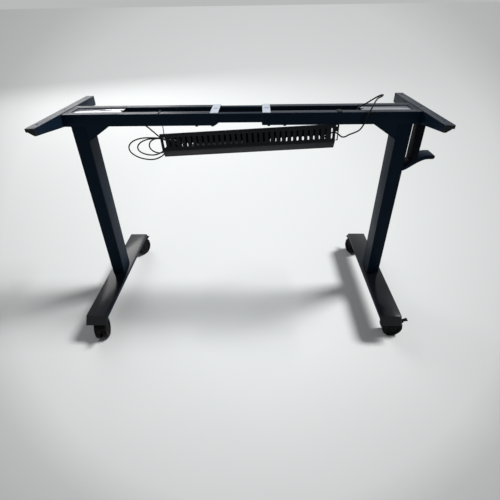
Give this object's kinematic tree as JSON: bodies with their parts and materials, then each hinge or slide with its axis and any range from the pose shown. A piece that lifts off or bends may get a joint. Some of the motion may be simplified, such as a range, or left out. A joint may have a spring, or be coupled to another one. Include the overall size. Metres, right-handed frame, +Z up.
{
  "type": "standing desk frame",
  "caption": "Height-adjustable desk frame: two telescoping legs on castor feet, width-adjustable rails, desktop arms, cable tray, side hook.",
  "frame": {"origin": "on the floor under the middle of the outline", "axes": "+X to the right along the rails, +Y to the rear, +Z up"},
  "size_m": [1.3266, 0.6939, 0.8309],
  "materials": {
    "frame_black": "satin powder coat",
    "tray_black": "satin powder coat",
    "plate_grey": "satin",
    "plastic_black": "fine grain",
    "castor_black": "moulded nylon",
    "wheel_black": "moulded nylon",
    "bare_steel": "zinc plated",
    "nylon": "moulded",
    "cable": "matte"
  },
  "bodies": {
    "centre": {"front_inner_rail": "frame_black", "rear_inner_rail": "frame_black", "cable_tray": "tray_black", "tray_hangers": "tray_black", "control_box": "plastic_black", "coiled_motor_lead": "cable", "motor_lead_joint": "plastic_black", "left_motor_lead": "cable", "right_motor_lead": "cable"},
    "left_end": {"left_front_rail": "frame_black", "left_rear_rail": "frame_black", "left_cross_plate": "plate_grey", "left_head": "frame_black", "left_cover_plate": "plate_grey", "left_arm": "frame_black", "left_arm_caps": "plastic_black", "left_screws": "bare_steel", "left_outer_column": "frame_black", "left_glides": "nylon", "left_motor": "bare_steel", "left_gearbox": "plastic_black"},
    "right_end": {"right_front_rail": "frame_black", "right_rear_rail": "frame_black", "right_cross_plate": "plate_grey", "right_head": "frame_black", "right_cover_plate": "plate_grey", "right_arm": "frame_black", "right_arm_caps": "plastic_black", "right_screws": "bare_steel", "right_outer_column": "frame_black", "right_glides": "nylon", "right_motor": "bare_steel", "right_gearbox": "plastic_black", "right_hanger": "frame_black", "right_hook": "frame_black"},
    "left_leg": {"left_inner_column": "frame_black", "left_nut_and_guide": "nylon", "left_foot": "frame_black", "left_foot_caps": "plastic_black", "left_castor_mounts": "bare_steel"},
    "right_leg": {"right_inner_column": "frame_black", "right_nut_and_guide": "nylon", "right_foot": "frame_black", "right_foot_caps": "plastic_black", "right_castor_mounts": "bare_steel"},
    "left_screw_drive": {"left_spindle": "bare_steel"},
    "right_screw_drive": {"right_spindle": "bare_steel"},
    "left_front_fork": {"left_front_castor_fork": "castor_black"},
    "left_front_wheels": {"left_front_castor_wheels": "wheel_black"},
    "left_front_pedal": {"left_front_castor_pedal": "castor_black"},
    "right_front_fork": {"right_front_castor_fork": "castor_black"},
    "right_front_wheels": {"right_front_castor_wheels": "wheel_black"},
    "right_front_pedal": {"right_front_castor_pedal": "castor_black"},
    "left_rear_fork": {"left_rear_castor_fork": "castor_black"},
    "left_rear_wheels": {"left_rear_castor_wheels": "wheel_black"},
    "left_rear_pedal": {"left_rear_castor_pedal": "castor_black"},
    "right_rear_fork": {"right_rear_castor_fork": "castor_black"},
    "right_rear_wheels": {"right_rear_castor_wheels": "wheel_black"},
    "right_rear_pedal": {"right_rear_castor_pedal": "castor_black"}
  },
  "joints": [
    {"name": "left_width", "type": "slide", "parent": "centre", "child": "left_end", "axis": [-1, 0, 0], "range_m": [0, 0.17]},
    {"name": "right_width", "type": "slide", "parent": "centre", "child": "right_end", "axis": [1, 0, 0], "range_m": [0, 0.17]},
    {"name": "left_lift", "type": "slide", "parent": "left_end", "child": "left_leg", "axis": [0, 0, -1], "range_m": [0, 0.48]},
    {"name": "right_lift", "type": "slide", "parent": "right_end", "child": "right_leg", "axis": [0, 0, -1], "range_m": [0, 0.48]},
    {"name": "left_spindle_turn", "type": "hinge", "parent": "left_end", "child": "left_screw_drive", "pos_m": [-0.58625, 0.01331, 0.4], "axis": [0, 0, 1], "range_deg": [0, 21601]},
    {"name": "right_spindle_turn", "type": "hinge", "parent": "right_end", "child": "right_screw_drive", "pos_m": [0.53375, 0.01331, 0.4], "axis": [0, 0, 1], "range_deg": [0, 21601]},
    {"name": "left_front_swivel", "type": "hinge", "parent": "left_leg", "child": "left_front_fork", "pos_m": [-0.58625, -0.26969, 0.09], "axis": [0, 0, 1], "continuous": true},
    {"name": "left_front_roll", "type": "hinge", "parent": "left_front_fork", "child": "left_front_wheels", "pos_m": [-0.58209, -0.28925, 0.0375], "axis": [0.9781, 0.2079, 0], "continuous": true},
    {"name": "left_front_brake", "type": "hinge", "parent": "left_front_fork", "child": "left_front_pedal", "pos_m": [-0.5744, -0.32542, 0.0606], "axis": [-0.9781, -0.2079, 0], "range_deg": [0, 18]},
    {"name": "right_front_swivel", "type": "hinge", "parent": "right_leg", "child": "right_front_fork", "pos_m": [0.53375, -0.26969, 0.09], "axis": [0, 0, 1], "continuous": true},
    {"name": "right_front_roll", "type": "hinge", "parent": "right_front_fork", "child": "right_front_wheels", "pos_m": [0.55375, -0.26969, 0.0375], "axis": [0, 1, 0], "continuous": true},
    {"name": "right_front_brake", "type": "hinge", "parent": "right_front_fork", "child": "right_front_pedal", "pos_m": [0.59072, -0.26969, 0.0606], "axis": [0, -1, 0], "range_deg": [0, 18]},
    {"name": "left_rear_swivel", "type": "hinge", "parent": "left_leg", "child": "left_rear_fork", "pos_m": [-0.58625, 0.27231, 0.09], "axis": [0, 0, 1], "continuous": true},
    {"name": "left_rear_roll", "type": "hinge", "parent": "left_rear_fork", "child": "left_rear_wheels", "pos_m": [-0.57876, 0.29085, 0.0375], "axis": [-0.9272, 0.3746, 0], "continuous": true},
    {"name": "left_rear_brake", "type": "hinge", "parent": "left_rear_fork", "child": "left_rear_pedal", "pos_m": [-0.56491, 0.32514, 0.0606], "axis": [0.9272, -0.3746, 0], "range_deg": [0, 18]},
    {"name": "right_rear_swivel", "type": "hinge", "parent": "right_leg", "child": "right_rear_fork", "pos_m": [0.53375, 0.27231, 0.09], "axis": [0, 0, 1], "continuous": true},
    {"name": "right_rear_roll", "type": "hinge", "parent": "right_rear_fork", "child": "right_rear_wheels", "pos_m": [0.52626, 0.29085, 0.0375], "axis": [-0.9272, -0.3746, 0], "continuous": true},
    {"name": "right_rear_brake", "type": "hinge", "parent": "right_rear_fork", "child": "right_rear_pedal", "pos_m": [0.51241, 0.32514, 0.0606], "axis": [0.9272, 0.3746, 0], "range_deg": [0, 18]}
  ],
  "couplings": [
    {"joint": "right_lift", "follows": "left_lift", "ratio": 1},
    {"joint": "left_spindle_turn", "follows": "left_lift", "rad_per_m": 785.4},
    {"joint": "right_spindle_turn", "follows": "left_lift", "rad_per_m": 785.4}
  ]
}
